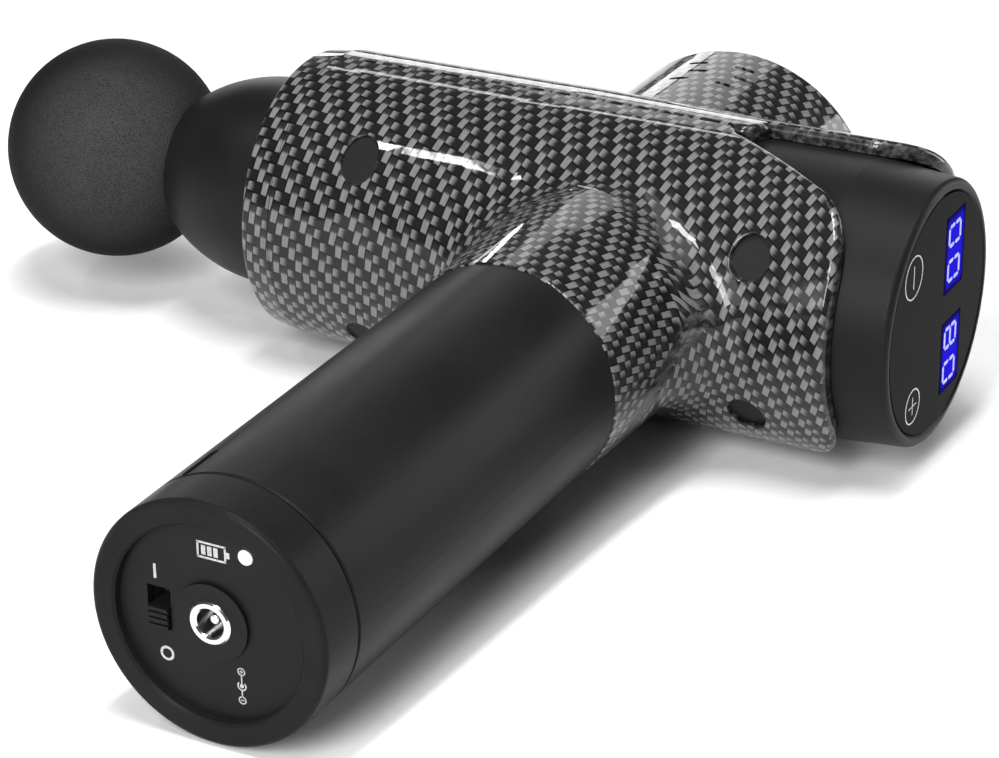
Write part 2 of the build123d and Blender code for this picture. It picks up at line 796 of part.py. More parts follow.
with BuildPart() as battery_leads:
    for x, side in LEAD_SPOTS:
        add(
            wire(
                [
                    (x, BASE_BOARD_Y + BOARD_THICKNESS, side),
                    (x, BARREL_Y - 20, side),
                    (MAIN_BOARD_X, BARREL_Y - 20, side),
                ],
                LEAD_R,
                8,
            )
        )
write(battery_leads, "battery_leads")


# Motor, in the hump, and the frame that carries it and the plunger

with BuildPart() as motor_frame:
    add(turned(motor_ring(0, FRAME_R, FRAME_BOTTOM, FRAME_TOP), MOTOR_AXIS))
    add(turned(motor_ring(0, BEARING_TUBE_R, FRAME_TOP, TUBE_TOP), MOTOR_AXIS))
    # Two rails run forward under the plate to a bulkhead with the plunger's guide tube
    with BuildSketch(Plane.XY.offset(19)):
        with BuildLine():
            Polyline(
                (-50, BARREL_Y - 12),
                (-44, BARREL_Y - 12),
                (-24, BARREL_Y - 6),
                (16, BARREL_Y - 6),
                (16, BARREL_Y + FRAME_BOTTOM),
                (-50, BARREL_Y + FRAME_BOTTOM),
                close=True,
            )
        make_face()
    extrude(amount=3)
    mirror(about=Plane.XY)
    with BuildSketch(station(-50)):
        with Locations(((FRAME_BOTTOM - 12) / 2, 0)):
            Rectangle(FRAME_BOTTOM + 12, 44)
    extrude(amount=4)
    add(turned(barrel_ring(0, GUIDE_R, GUIDE_FRONT_X, -46), BARREL_AXIS))
    add(turned(barrel_ring(0, BUSH_R, GUIDE_FRONT_X - 1, -45), BARREL_AXIS), mode=Mode.SUBTRACT)
    # Bearing seats, lead holes and screw holes
    for radius, start, end in (
        (BEARING_R, FRAME_BOTTOM, FRAME_BOTTOM + BEARING_WIDTH),
        (BEARING_R, TUBE_TOP - BEARING_WIDTH, TUBE_TOP),
        (BEARING_R - 1.2, 0, TUBE_TOP),
    ):
        add(turned(motor_ring(0, radius, start, end), MOTOR_AXIS), mode=Mode.SUBTRACT)
    with BuildSketch(level(FRAME_BOTTOM)):
        with Locations(*[(PHASE_X, z) for z in PHASE_SPREAD]):
            Circle(PHASE_R + 0.3)
        with Locations(*FRAME_SCREW_SPOTS):
            Circle(1.6)
    extrude(amount=FRAME_TOP - FRAME_BOTTOM, mode=Mode.SUBTRACT)
write(motor_frame, "motor_frame")

with BuildPart() as frame_screws:
    with BuildSketch(level(FRAME_BOTTOM)):
        with Locations(*FRAME_SCREW_SPOTS):
            Circle(2.5)
    extrude(amount=-1.8)
    with BuildSketch(level(FRAME_BOTTOM)):
        with Locations(*FRAME_SCREW_SPOTS):
            Circle(SCREW_CORE_R)
    extrude(amount=FRAME_TOP - FRAME_BOTTOM + 5.5)
write(frame_screws, "frame_screws")


def bearing_outline(bore, outer, start, end):
    """Half section of a shielded ball bearing: two races with a sunk shield between."""
    middle = (bore + outer) / 2
    band = (outer - bore) * 0.2
    sunk = 0.35
    return [
        (bore, start),
        (middle - band, start),
        (middle - band, start + sunk),
        (middle + band, start + sunk),
        (middle + band, start),
        (outer, start),
        (outer, end),
        (middle + band, end),
        (middle + band, end - sunk),
        (middle - band, end - sunk),
        (middle - band, end),
        (bore, end),
    ]


def bearing(centre_x, bore, outer, start, end):
    """Ball bearing about an upright axis at centre_x."""
    points = [(centre_x + r, BARREL_Y + y) for r, y in bearing_outline(bore, outer, start, end)]
    return turned(points, Axis((centre_x, 0, 0), (0, 1, 0)))


with BuildPart() as motor_bearings:
    for start in (FRAME_BOTTOM, TUBE_TOP - BEARING_WIDTH):
        add(bearing(MOTOR_X, SHAFT_R + RUNNING_GAP, BEARING_R, start, start + BEARING_WIDTH))
write(motor_bearings, "motor_bearings")

with BuildPart() as stator_core:
    with BuildSketch(level(STATOR_START)):
        with Locations((MOTOR_X, 0)):
            # Tooth tips in a broken ring, then the hub and the teeth
            Circle(STATOR_R)
            Circle(STATOR_R - 1.4, mode=Mode.SUBTRACT)
            with PolarLocations(STATOR_R, TEETH, start_angle=180 / TEETH):
                Rectangle(4, 2.9, mode=Mode.SUBTRACT)
            Circle(12)
            with PolarLocations(TOOTH_CENTRE_R, TEETH):
                Rectangle(*TOOTH)
            Circle(BEARING_TUBE_R, mode=Mode.SUBTRACT)
    extrude(amount=STATOR_HEIGHT)
write(stator_core, "stator_core")

with BuildPart() as motor_windings:
    with BuildSketch(level(STATOR_START - 1.6)):
        with Locations((MOTOR_X, 0)):
            with PolarLocations(TOOTH_CENTRE_R, TEETH):
                RectangleRounded(5.6, 6.2, 1.2)
    extrude(amount=STATOR_HEIGHT + 3.2)
    with BuildSketch(level(STATOR_START)):
        with Locations((MOTOR_X, 0)):
            with PolarLocations(TOOTH_CENTRE_R, TEETH):
                Rectangle(*TOOTH)
    extrude(amount=STATOR_HEIGHT, mode=Mode.SUBTRACT)
write(motor_windings, "motor_windings")

with BuildPart() as rotor_magnets:
    with BuildSketch(level(STATOR_START)):
        with Locations((MOTOR_X, 0)):
            Circle(CAN_INNER_R)
            Circle(CAN_INNER_R - 1.6, mode=Mode.SUBTRACT)
            with PolarLocations(CAN_INNER_R, MAGNETS):
                Rectangle(5, 0.8, mode=Mode.SUBTRACT)
    extrude(amount=STATOR_HEIGHT)
write(rotor_magnets, "rotor_magnets")

with BuildPart() as motor_can:
    add(turned(motor_ring(0, CAN_R, STATOR_START - 1, CAN_TOP), MOTOR_AXIS))
    fillet(motor_can.faces().sort_by(Axis.Y)[-1].edges(), 1.0)
    add(turned(motor_ring(0, CAN_INNER_R, 0, CAN_TOP - 1.8), MOTOR_AXIS), mode=Mode.SUBTRACT)
    add(turned(motor_ring(0, 5, CAN_TOP - 1.8, CAN_TOP + 2), MOTOR_AXIS))
    add(turned(motor_ring(0, SHAFT_R, 0, CAN_TOP + 3), MOTOR_AXIS), mode=Mode.SUBTRACT)
    with BuildSketch(level(CAN_TOP)):
        with Locations((MOTOR_X, 0)):
            with PolarLocations(14, 6):
                Circle(3.6)
    extrude(amount=-3, mode=Mode.SUBTRACT)
write(motor_can, "motor_can")

with BuildPart() as motor_shaft:
    with BuildSketch(level(WHEEL_BOTTOM)):
        with Locations((MOTOR_X, 0)):
            Circle(SHAFT_R)
    extrude(amount=CAN_TOP + 2 - WHEEL_BOTTOM)
write(motor_shaft, "motor_shaft")

with BuildPart() as phase_leads:
    for z in PHASE_SPREAD:
        add(
            wire(
                [
                    (PHASE_X, BARREL_Y + STATOR_START - 1.6, z),
                    (PHASE_X, BARREL_Y + 8, z),
                    (MAIN_BOARD_X, BARREL_Y + 8, z),
                ],
                PHASE_R,
                4,
            )
        )
write(phase_leads, "phase_leads")


# Crank, yoke and plunger

with BuildPart() as crank_wheel:
    add(turned(motor_ring(0, WHEEL_R, WHEEL_BOTTOM, WHEEL_TOP), MOTOR_AXIS))
    add(turned(motor_ring(0, 6, WHEEL_TOP, WEIGHT_TOP), MOTOR_AXIS))
    # Balance weight on the side away from the pin
    with BuildSketch(level(WHEEL_TOP)):
        with Locations((MOTOR_X, 0)):
            Circle(WHEEL_R)
            Circle(8, mode=Mode.SUBTRACT)
            with Locations((WHEEL_R, 0)):
                Rectangle(2 * WHEEL_R, 2 * WHEEL_R, mode=Mode.SUBTRACT)
    extrude(amount=WEIGHT_TOP - WHEEL_TOP)
    add(turned(motor_ring(0, SHAFT_R, 0, WEIGHT_TOP + 1), MOTOR_AXIS), mode=Mode.SUBTRACT)
    with BuildSketch(level(WHEEL_BOTTOM)):
        with Locations((MOTOR_X + CRANK_R, 0)):
            Circle(PIN_R)
        with Locations((MOTOR_X + 6, 8.5), (MOTOR_X + 6, -8.5)):
            Circle(2.6)
    extrude(amount=WHEEL_TOP - WHEEL_BOTTOM, mode=Mode.SUBTRACT)
write(crank_wheel, "crank_wheel")

with BuildPart() as crank_pin:
    # From below: head, seat of the bearing, shoulder, end pressed into the wheel
    steps = (
        (PIN_R + 1, -BEARING_HALF_WIDTH - 1.7, -BEARING_HALF_WIDTH),
        (PIN_R, -BEARING_HALF_WIDTH, BEARING_HALF_WIDTH),
        (PIN_R + 1.2, BEARING_HALF_WIDTH, WHEEL_BOTTOM),
        (PIN_R, WHEEL_BOTTOM, WHEEL_TOP),
    )
    for radius, start, end in steps:
        with BuildSketch(level(start)):
            with Locations((PIN_X, 0)):
                Circle(radius)
        extrude(amount=end - start)
write(crank_pin, "crank_pin")

with BuildPart() as crank_bearing:
    add(bearing(PIN_X, PIN_R, CRANK_BEARING_R, -BEARING_HALF_WIDTH, BEARING_HALF_WIDTH))
write(crank_bearing, "crank_bearing")

with BuildPart() as yoke:
    with BuildSketch(level(-YOKE_HALF_THICKNESS)):
        with Locations((PIN_X, 0)):
            RectangleRounded(2 * YOKE_HALF_X, 34, 3)
            RectangleRounded(2 * (CRANK_BEARING_R + YOKE_PLAY), 26.4, 3, mode=Mode.SUBTRACT)
    extrude(amount=2 * YOKE_HALF_THICKNESS)
write(yoke, "yoke")

with BuildPart() as plunger:
    add(turned(barrel_ring(0, PLUNGER_R, PLUNGER_FRONT_X, -36), BARREL_AXIS))
    add(turned(barrel_ring(0, 4.5, -36, PIN_X - YOKE_HALF_X), BARREL_AXIS))
    socket = barrel_ring(0, STEM_R + RUNNING_GAP, PLUNGER_FRONT_X - 1, STEM_END_X + 1)
    add(turned(socket, BARREL_AXIS), mode=Mode.SUBTRACT)
    chamfer(plunger.faces().sort_by(Axis.X)[0].edges(), 0.8)
write(plunger, "plunger")

with BuildPart() as plunger_bushes:
    for start, end in ((GUIDE_FRONT_X, GUIDE_FRONT_X + 9), (-56, -46)):
        add(turned(barrel_ring(PLUNGER_R + RUNNING_GAP, BUSH_R, start, end), BARREL_AXIS))
write(plunger_bushes, "plunger_bushes")

with BuildPart() as plunger_wiper:
    add(
        turned(
            barrel_ring(PLUNGER_R + RUNNING_GAP, GUIDE_R, GUIDE_FRONT_X - 2, GUIDE_FRONT_X),
            BARREL_AXIS,
        )
    )
write(plunger_wiper, "plunger_wiper")


# Massage head


def ball_outline(ball_r, waist_r, far_x):
    """Half section of a ball with a round waist running from it towards +X, to far_x."""
    join_x = BALL_X + sqrt(ball_r**2 - waist_r**2)
    with BuildSketch(Plane.XY) as outline:
        with BuildLine():
            Line((far_x, BARREL_Y), (BALL_X - ball_r, BARREL_Y))
            ThreePointArc(
                (BALL_X - ball_r, BARREL_Y),
                (BALL_X, BARREL_Y + ball_r),
                (join_x, BARREL_Y + waist_r),
            )
            Polyline((join_x, BARREL_Y + waist_r), (far_x, BARREL_Y + waist_r), (far_x, BARREL_Y))
        make_face()
    return outline.sketch


with BuildPart() as head_stem:
    # Plastic core in the ball, waist and stem in one piece
    revolve(ball_outline(CORE_R, WAIST_R, COLLAR_END_X), axis=BARREL_AXIS)
    add(turned(barrel_ring(0, STEM_R, COLLAR_END_X, STEM_END_X), BARREL_AXIS))
    for x in O_RING_SPOTS:
        add(
            turned(barrel_ring(STEM_R - 1, STEM_R + 1, x - 0.9, x + 0.9), BARREL_AXIS),
            mode=Mode.SUBTRACT,
        )
    chamfer(head_stem.faces().sort_by(Axis.X)[-1].edges(), 0.6)
write(head_stem, "head_stem")

with BuildPart() as massage_ball:
    revolve(ball_outline(BALL_R, COLLAR_R, COLLAR_END_X), axis=BARREL_AXIS)
    revolve(ball_outline(CORE_R, WAIST_R, COLLAR_END_X), axis=BARREL_AXIS, mode=Mode.SUBTRACT)
write(massage_ball, "massage_ball")

with BuildPart() as head_o_rings:
    for x in O_RING_SPOTS:
        with BuildSketch(Plane.XY):
            with Locations((x, BARREL_Y + STEM_R - 0.45)):
                Circle(0.5)
        revolve(axis=BARREL_AXIS)
write(head_o_rings, "head_o_rings")
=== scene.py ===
"""Looks of the massage gun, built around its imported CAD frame.

The gun lies on its right side: handle along +Y, barrel along X, +Z up. Lengths named *_MM, and
the marks on the display and the base, are in millimetres. Everything else is in metres.
"""
import json
import math

import bmesh
import bpy
from mathutils import Matrix, Vector, noise


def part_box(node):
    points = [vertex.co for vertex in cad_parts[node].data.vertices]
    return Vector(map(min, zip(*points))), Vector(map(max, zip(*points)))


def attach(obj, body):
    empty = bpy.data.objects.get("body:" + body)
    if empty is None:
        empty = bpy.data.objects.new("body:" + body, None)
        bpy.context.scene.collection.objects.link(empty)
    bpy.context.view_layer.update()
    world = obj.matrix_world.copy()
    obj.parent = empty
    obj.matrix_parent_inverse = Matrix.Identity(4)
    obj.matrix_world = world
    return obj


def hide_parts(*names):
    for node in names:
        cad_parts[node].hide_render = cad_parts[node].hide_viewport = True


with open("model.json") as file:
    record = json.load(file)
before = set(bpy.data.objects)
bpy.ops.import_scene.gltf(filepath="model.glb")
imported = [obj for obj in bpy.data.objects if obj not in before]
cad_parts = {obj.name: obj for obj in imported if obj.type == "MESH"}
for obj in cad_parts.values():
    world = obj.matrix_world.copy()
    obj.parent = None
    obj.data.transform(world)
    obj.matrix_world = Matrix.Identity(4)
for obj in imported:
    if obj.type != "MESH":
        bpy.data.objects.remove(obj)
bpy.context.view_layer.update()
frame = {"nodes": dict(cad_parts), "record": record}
MM = 0.001

# Places and sizes read from the frame
glass_low, glass_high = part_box("display_glass")
ball_low, ball_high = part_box("massage_ball")
AXIS_Y = (glass_low.y + glass_high.y) / 2  # height of the barrel's axis
HANDLE_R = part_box("grip_tube")[1].x
BARREL_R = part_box("handle_side_shell")[1].z
GLASS_FACE_X = glass_high.x
PANEL_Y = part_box("charge_led")[0].y + 0.3 * MM  # the light stands that far out of the panel
MARK_THICKNESS = 0.05 * MM

# Carbon film: a 2/2 twill of narrow tows (A) over and under wider ones (B)
TOW_A_MM = 1.949
TOW_B_MM = 2.587
A_SLOPE = (0.2506, 0.00169)  # run along the barrel per unit round it, and its change per mm
B_SLOPE = (-0.4806, -0.0044)
SHADE_RANGE = (0.003, 0.180)  # darkest and lightest filaments
NECK_R_MM = 25.3
HUMP_R_MM = 33.0
HUMP_X_MM = 0.6
HUMP_TOP_MM = 45.9
SKIN_MM = 0.15  # what stands further out than this isn't the barrel

# Where the barrel's film gives way to the neck's: at once on the side that faces up, and further
# out on the lower flank
FLANK_HIGH_MM, FLANK_LOW_MM = 8, -12
FLANK_REACH_MM = 19
NECK_BLEND_MM = 8
FLANK_TURN_MM = 14
FLANK_PULL = 0.8


# ---------------------------------------------------------------- nodes


class Net:
    """Short ways to add and link the shader nodes of one material."""

    def __init__(self, name):
        self.material = bpy.data.materials.new(name)
        self.material.use_nodes = True
        self.nodes = self.material.node_tree.nodes
        self.links = self.material.node_tree.links
        self.shader = self.nodes["Principled BSDF"]
        self.place = self.add("ShaderNodeTexCoord").outputs["Object"]

    def add(self, kind, **settings):
        node = self.nodes.new(kind)
        for key, value in settings.items():
            setattr(node, key, value)
        return node

    def feed(self, socket, value):
        if isinstance(value, bpy.types.NodeSocket):
            self.links.new(value, socket)
        else:
            socket.default_value = value

    def math(self, operation, *values):
        node = self.add("ShaderNodeMath", operation=operation)
        for socket, value in zip(node.inputs, values):
            self.feed(socket, value)
        return node.outputs[0]

    def plus(self, first, second):
        return self.math("ADD", first, second)

    def minus(self, first, second):
        return self.math("SUBTRACT", first, second)

    def times(self, first, second):
        return self.math("MULTIPLY", first, second)

    def over(self, first, second):
        return self.math("DIVIDE", first, second)

    def magnitude(self, value):
        return self.math("ABSOLUTE", value)

    def ramp(self, value, low, high, to_low=0.0, to_high=1.0, kind="SMOOTHSTEP"):
        """Value mapped from low..high to to_low..to_high, clamped."""
        node = self.add("ShaderNodeMapRange", interpolation_type=kind)
        for name, item in zip(
            ("Value", "From Min", "From Max", "To Min", "To Max"),
            (value, low, high, to_low, to_high),
        ):
            self.feed(node.inputs[name], item)
        return node.outputs["Result"]

    def mix(self, share, first, second):
        """Number between first and second."""
        node = self.add("ShaderNodeMix", data_type="FLOAT")
        self.feed(node.inputs[0], share)
        self.feed(node.inputs[2], first)
        self.feed(node.inputs[3], second)
        return node.outputs[0]

    def tint(self, share, first, second):
        """Colour between two colours."""
        node = self.add("ShaderNodeMix", data_type="RGBA")
        self.feed(node.inputs[0], share)
        self.feed(node.inputs[6], (*first, 1))
        self.feed(node.inputs[7], (*second, 1))
        return node.outputs[2]

    def vector(self, x, y, z):
        node = self.add("ShaderNodeCombineXYZ")
        for socket, value in zip(node.inputs, (x, y, z)):
            self.feed(socket, value)
        return node.outputs[0]

    def split(self, vector):
        node = self.add("ShaderNodeSeparateXYZ")
        self.feed(node.inputs[0], vector)
        return node.outputs

    def stretched(self, scale):
        """Place on the object, scaled by its own amount along each axis."""
        node = self.add("ShaderNodeMapping")
        self.feed(node.inputs["Vector"], self.place)
        node.inputs["Scale"].default_value = scale
        return node.outputs[0]

    def noise(self, where, scale, detail=2.0, roughness=0.5):
        node = self.add("ShaderNodeTexNoise")
        self.feed(node.inputs["Vector"], where)
        node.inputs["Scale"].default_value = scale
        node.inputs["Detail"].default_value = detail
        node.inputs["Roughness"].default_value = roughness
        return node.outputs["Fac"]

    def cells(self, where, scale):
        node = self.add("ShaderNodeTexVoronoi", feature="F1")
        self.feed(node.inputs["Vector"], where)
        node.inputs["Scale"].default_value = scale
        return node.outputs["Distance"]

    def bump(self, height, depth):
        node = self.add("ShaderNodeBump")
        node.inputs["Strength"].default_value = 1.0
        node.inputs["Distance"].default_value = depth
        self.feed(node.inputs["Height"], height)
        return node.outputs["Normal"]

    def set(self, **values):
        """Sets or links the shader's sockets, named with _ for spaces."""
        for key, value in values.items():
            self.feed(self.shader.inputs[key.replace("_", " ")], value)


# ---------------------------------------------------------------- carbon film


def film_coordinates(net):
    """Film position in mm, along the barrel and round it from its lowest line when upright, and
    how far the film is stretched there and darkened with painted shade, 0 to 1."""
    parts = net.split(net.place)
    x = net.times(parts[0], 1000)
    rise = net.times(net.minus(parts[1], AXIS_Y), 1000)
    z = net.times(parts[2], 1000)
    radius = BARREL_R / MM
    depth = net.times(rise, -1)
    reach = net.math("SQRT", net.plus(net.times(rise, rise), net.times(z, z)))
    arc = net.times(net.math("ARCTAN2", z, depth), radius)

    # The neck: round the handle's axis. On its lower flanks the film runs on from the barrel
    girth = net.math("SQRT", net.plus(net.times(x, x), net.times(z, z)))
    under = net.math("GREATER_THAN", net.times(z, -1), net.magnitude(x))
    side = net.minus(1, net.times(under, 2))
    neck_x = net.times(net.math("ARCTAN2", x, net.times(z, side)), NECK_R_MM)
    turned = net.times(net.over(net.magnitude(z), girth), FLANK_TURN_MM)
    neck_arc = net.times(net.plus(net.plus(rise, radius), turned), side)
    start = net.ramp(z, FLANK_HIGH_MM, FLANK_LOW_MM, radius, radius + FLANK_REACH_MM)
    on_neck = net.ramp(reach, start, net.plus(start, NECK_BLEND_MM))
    below = net.math("LESS_THAN", rise, 0)
    on_neck = net.times(on_neck, below)
    drop = net.times(net.math("MAXIMUM", net.minus(reach, radius), 0), below)
    drop = net.times(drop, net.over(net.times(x, FLANK_PULL), girth))

    # The hump: round the motor's axis, flat on its top
    hump_x = net.math("ARCTAN2", net.minus(x, HUMP_X_MM), z)
    hump_x = net.times(hump_x, HUMP_R_MM)
    hump_arc = net.plus(rise, radius * math.pi / 2)
    on_hump = net.math("GREATER_THAN", reach, radius + SKIN_MM)
    on_hump = net.times(on_hump, net.math("GREATER_THAN", rise, 0))
    on_top = net.math("GREATER_THAN", rise, HUMP_TOP_MM)

    along = net.mix(on_neck, net.minus(x, drop), neck_x)
    around = net.mix(on_neck, arc, neck_arc)
    along = net.mix(on_hump, along, hump_x)
    around = net.mix(on_hump, around, hump_arc)
    along = net.mix(on_top, along, x)
    around = net.mix(on_top, around, z)

    # The film isn't laid quite evenly
    sway = net.minus(net.noise(net.place, 55), 0.5)
    swing = net.minus(net.noise(net.vector(around, along, 3.0), 0.05), 0.5)
    along = net.plus(along, net.times(sway, 0.9))
    around = net.plus(around, net.times(swing, 1.6))

    # Stretched film round the root of the neck, and over edges that face along the barrel, darkened
    # with painted shade
    root = net.times(net.times(on_neck, net.minus(1, on_neck)), 4)
    # Painted shade: the root's darkening grows towards the neck's lower flank
    root = net.times(root, net.ramp(z, 10, -2, 0.4, 5.0))
    normal = net.split(net.add("ShaderNodeNewGeometry").outputs["Normal"])
    out_y = net.times(normal[1], rise)
    out_z = net.times(normal[2], z)
    out_x = net.times(normal[0], net.minus(x, HUMP_X_MM))
    on_barrel = net.magnitude(net.over(net.plus(out_y, out_z), reach))
    on_flank = net.magnitude(net.over(net.plus(out_x, out_z), girth))
    outward = net.math("MAXIMUM", on_barrel, on_flank)
    outward = net.math("MAXIMUM", outward, net.magnitude(normal[1]))
    outward = net.mix(net.math("LESS_THAN", reach, radius + SKIN_MM), outward, on_barrel)
    # Painted shade: edge walls, such as the notch under the hump, are darkened as well as streaked
    edge = net.ramp(outward, 0.85, 0.5)
    return along, around, net.math("MINIMUM", net.math("MAXIMUM", root, edge), 1)


def weave(net, along, around):
    """Brightness and height of the twill at a film position."""
    bend_a = net.plus(A_SLOPE[0], net.times(along, A_SLOPE[1]))
    a_count = net.minus(along, net.times(around, bend_a))
    a_count = net.over(a_count, TOW_A_MM)
    bend_b = net.times(net.times(along, along), B_SLOPE[1] / 2)
    b_count = net.minus(around, net.times(along, B_SLOPE[0]))
    b_count = net.over(net.minus(b_count, bend_b), TOW_B_MM)

    a_tow = net.math("FLOOR", a_count)
    b_tow = net.math("FLOOR", b_count)
    a_part = net.minus(a_count, a_tow)
    b_part = net.minus(b_count, b_tow)
    step = net.math("FLOORED_MODULO", net.plus(a_tow, b_tow), 4)
    b_on_top = net.math("GREATER_THAN", step, 1.5)

    # Where along its float, 0 to 1, and where across the tow, -0.5 to 0.5
    a_run = net.over(net.plus(step, b_part), 2)
    b_run = net.over(net.plus(net.minus(step, 2), a_part), 2)
    run = net.mix(b_on_top, a_run, b_run)
    across = net.minus(net.mix(b_on_top, a_part, b_part), 0.5)
    tow = net.mix(b_on_top, net.times(a_tow, 3.7), net.times(b_tow, 5.3))
    half = net.mix(
        b_on_top,
        net.ramp(run, 0, 1, 0.42, 0.49, "LINEAR"),
        net.ramp(run, 0, 0.8, 0.42, 0.50, "LINEAR"),
    )
    inset = net.minus(half, net.magnitude(across))
    body = net.ramp(inset, -0.01, 0.10)
    ends = net.times(net.ramp(run, 0.0, 0.05), net.ramp(run, 1.0, 0.93))

    # Filaments: fine lines along the tow, which also fray the edge between light and dark
    fibres = net.noise(net.vector(net.times(across, 19), run, tow), 1.0, 3, 0.7)
    fray = net.times(net.minus(fibres, 0.5), net.mix(b_on_top, 0.12, 0.60))
    frayed = net.plus(run, fray)
    a_light = net.ramp(frayed, 0.50, 0.68, 1.0, 0.09)
    a_light = net.times(a_light, net.ramp(run, 0.7, 1.0, 1.0, 0.3))
    b_light = net.ramp(frayed, 0.10, 0.50, 1.0, 0.02)
    light = net.mix(b_on_top, a_light, b_light)
    light = net.times(light, net.ramp(fibres, 0.3, 0.7, 0.60, 1.2))
    shade = net.ramp(light, 0.0, 1.0, *SHADE_RANGE, "LINEAR")
    shade = net.times(shade, net.times(body, ends))
    shade = net.plus(shade, 0.0015)

    crown = net.minus(1, net.times(net.times(across, across), 4))
    arch = net.times(net.minus(1, run), run)
    height = net.times(net.times(crown, arch), 2)
    height = net.plus(height, net.times(fibres, 0.35))
    return shade, height


def carbon_material():
    """Printed carbon-fibre film under a clear gloss coat."""
    net = Net("carbon_gloss")
    along, around, stretch_and_shade = film_coordinates(net)
    shade, height = weave(net, along, around)
    # Where the film is stretched, its print is drawn out into streaks and darkened with painted
    # shade
    streaks = net.noise(net.stretched((650, 130, 650)), 1.0, 3, 0.6)
    smear_and_shade_tone = net.ramp(streaks, 0.4, 0.7, 0.008, 0.085)
    smear_and_shade_share = net.times(stretch_and_shade, net.ramp(streaks, 0.3, 0.6, 1.0, 0.85))
    shade = net.mix(smear_and_shade_share, shade, smear_and_shade_tone)
    tone = net.add("ShaderNodeCombineColor")
    net.feed(tone.inputs[0], shade)
    net.feed(tone.inputs[1], shade)
    net.feed(tone.inputs[2], net.times(shade, 1.01))
    waviness = net.noise(net.place, 420, 3, 0.6)
    coat_height = net.plus(net.times(height, 0.7), waviness)
    net.set(
        Base_Color=tone.outputs[0],
        Roughness=net.ramp(shade, 0.0, 0.35, 0.5, 0.38),
        Specular_IOR_Level=0.08,
        Coat_Weight=1.0,
        Coat_Roughness=0.03,
        Coat_IOR=1.33,
        Normal=net.bump(height, 0.05 * MM),
        Coat_Normal=net.bump(coat_height, 0.0032 * MM),
    )
    return net.material


# ---------------------------------------------------------------- other materials


def moulded(name, colour, roughness, grain_mm, relief_mm, spread=0.25, **more):
    """Moulded plastic or rubber: fine grain in relief, and slow changes of tone and gloss."""
    net = Net(name)
    grain = net.noise(net.place, 1000 / grain_mm, 3, 0.6)
    cloud = net.noise(net.place, 38, 3, 0.55)
    darker = tuple(channel * (1 - spread) for channel in colour)
    lighter = tuple(channel * (1 + spread) for channel in colour)
    mixed = net.plus(net.times(grain, 0.55), net.times(cloud, 0.45))
    net.set(
        Base_Color=net.tint(net.ramp(mixed, 0.35, 0.65), darker, lighter),
        Roughness=net.ramp(cloud, 0.3, 0.7, roughness - 0.03, roughness + 0.04),
        Normal=net.bump(grain, relief_mm * MM),
        **more,
    )
    return net.material


def machined(name, colour, roughness, stretch=(1, 1, 1), spread=0.12):
    """Metal with fine tool marks, drawn out along the directions with a small stretch."""
    net = Net(name)
    marks = net.noise(net.stretched(stretch), 2500, 3, 0.6)
    darker = tuple(channel * (1 - spread) for channel in colour)
    net.set(
        Base_Color=net.tint(marks, darker, colour),
        Metallic=1.0,
        Roughness=net.ramp(marks, 0.3, 0.7, roughness * 0.8, roughness * 1.25),
        Normal=net.bump(marks, 0.01 * MM),
    )
    return net.material


def wound(name, colour):
    """Enamelled copper wire, laid in turns across the motor's axis."""
    net = Net(name)
    wave = net.add("ShaderNodeTexWave", bands_direction="Y")
    net.feed(wave.inputs["Vector"], net.place)
    wave.inputs["Scale"].default_value = 520
    wave.inputs["Distortion"].default_value = 0.6
    turns = wave.outputs["Fac"]
    darker = tuple(channel * 0.35 for channel in colour)
    net.set(
        Base_Color=net.tint(turns, darker, colour),
        Metallic=0.8,
        Roughness=net.ramp(turns, 0, 1, 0.5, 0.28),
        Normal=net.bump(turns, 0.12 * MM),
    )
    return net.material


def circuit_board(name, colour):
    """Solder mask over copper traces."""
    net = Net(name)
    traces = net.add("ShaderNodeTexBrick")
    net.feed(traces.inputs["Vector"], net.place)
    traces.inputs["Scale"].default_value = 190
    traces.inputs["Mortar Size"].default_value = 0.06
    lighter = tuple(channel * 1.9 for channel in colour)
    net.set(
        Base_Color=net.tint(traces.outputs["Fac"], colour, lighter),
        Roughness=net.ramp(net.noise(net.place, 900), 0.3, 0.7, 0.35, 0.5),
        Normal=net.bump(traces.outputs["Fac"], 0.03 * MM),
    )
    return net.material


# Colour of the pores, also used for the painted shade at the ball's outline, and colour of the skin
FOAM_PIT_AND_SHADE, FOAM_SKIN = (0.002, 0.002, 0.002), (0.055, 0.055, 0.056)
GLOW_RIM, GLOW_CORE = (0.003, 0.002, 0.02), (0.018, 0.010, 0.78)
SEGMENT_BLUES = (0.42, 0.40, 1.0), (0.62, 0.70, 1.0)


def foam_material():
    """Dense black foam with a fine skin of pores, darkened towards its outline by painted shade."""
    net = Net("ball_foam")
    pores = net.cells(net.place, 2600)
    grain = net.noise(net.place, 3800, 3, 0.65)
    patches = net.noise(net.place, 60, 3, 0.55)
    open_pores = net.ramp(pores, 0.1, 0.45)
    tone = net.times(open_pores, net.ramp(grain, 0.3, 0.7, 0.6, 1.0))
    tone = net.times(tone, net.ramp(patches, 0.3, 0.7, 0.85, 1.0))
    # Painted shade: the colour darkens towards the ball's outline as seen from the camera, down to
    # the pores' colour
    outline = net.add("ShaderNodeLayerWeight")
    outline.inputs["Blend"].default_value = 0.5
    tone = net.times(tone, net.ramp(outline.outputs["Facing"], 0.0, 0.75, 1.0, 0.12))
    net.set(
        Base_Color=net.tint(tone, FOAM_PIT_AND_SHADE, FOAM_SKIN),
        Roughness=net.ramp(grain, 0.3, 0.7, 0.66, 0.8),
        Specular_IOR_Level=0.08,
        Normal=net.bump(net.plus(open_pores, grain), 0.05 * MM),
    )
    return net.material


